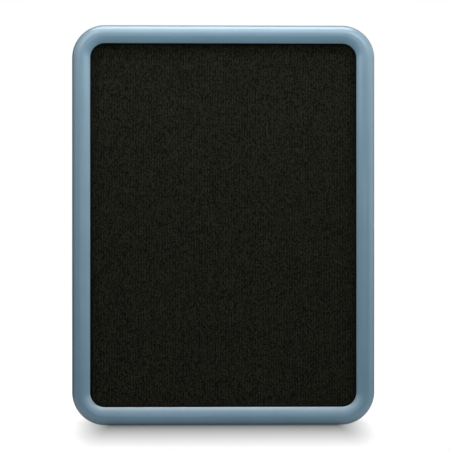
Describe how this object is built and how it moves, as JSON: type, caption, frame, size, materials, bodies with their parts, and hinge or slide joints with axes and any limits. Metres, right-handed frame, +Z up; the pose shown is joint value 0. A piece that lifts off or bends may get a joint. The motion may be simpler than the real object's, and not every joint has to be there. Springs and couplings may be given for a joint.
{
  "type": "enclosed bulletin board",
  "caption": "Wall-hung bulletin board: a fabric tackboard in a shallow tray behind a hinged, locking door with a clear window in a rounded bullnose frame.",
  "frame": {"origin": "centre of the tray's flat back face, on the wall plane", "axes": "+Z up the board, +Y into the wall, +X to the right as seen from the front"},
  "size_m": [0.457, 0.041, 0.604],
  "materials": {
    "frame_paint": "satin, moulded in slate blue",
    "clear_pane": "clear, polished",
    "black_rubber": "matte",
    "tack_fabric": "ribbed, matte",
    "fibre_core": "pressed fibre, matte",
    "black_moulding": "fine moulded texture",
    "plated_steel": "bright zinc plate",
    "lock_metal": "nickel plate",
    "plug_brass": "turned"
  },
  "bodies": {
    "wall_tray": {"back_tray": "black_moulding", "board_core": "fibre_core", "fabric_cover": "tack_fabric", "board_screws": "plated_steel", "hinge_tray_leaf": "plated_steel", "hinge_pin": "plated_steel", "hinge_tray_screws": "plated_steel", "lock_keeper": "plated_steel", "keeper_screws": "plated_steel", "rim_seal": "black_rubber"},
    "door": {"door_frame": "frame_paint", "window_pane": "clear_pane", "window_gasket": "black_rubber", "retainer_ring": "black_moulding", "retainer_screws": "plated_steel", "hinge_door_leaf": "plated_steel", "hinge_door_screws": "plated_steel", "lock_barrel": "lock_metal", "lock_clip": "plated_steel"},
    "lock_core": {"lock_plug": "plug_brass", "lock_cam": "plated_steel", "cam_screw": "plated_steel"}
  },
  "joints": [
    {"name": "door_swing", "type": "hinge", "parent": "wall_tray", "child": "door", "pos_m": [-0.2245, -0.016, 0], "axis": [0, 0, -1], "range_deg": [0, 120]},
    {"name": "lock_turn", "type": "hinge", "parent": "door", "child": "lock_core", "pos_m": [0.2285, -0.026, 0], "axis": [1, 0, 0], "range_deg": [0, 90]}
  ]
}
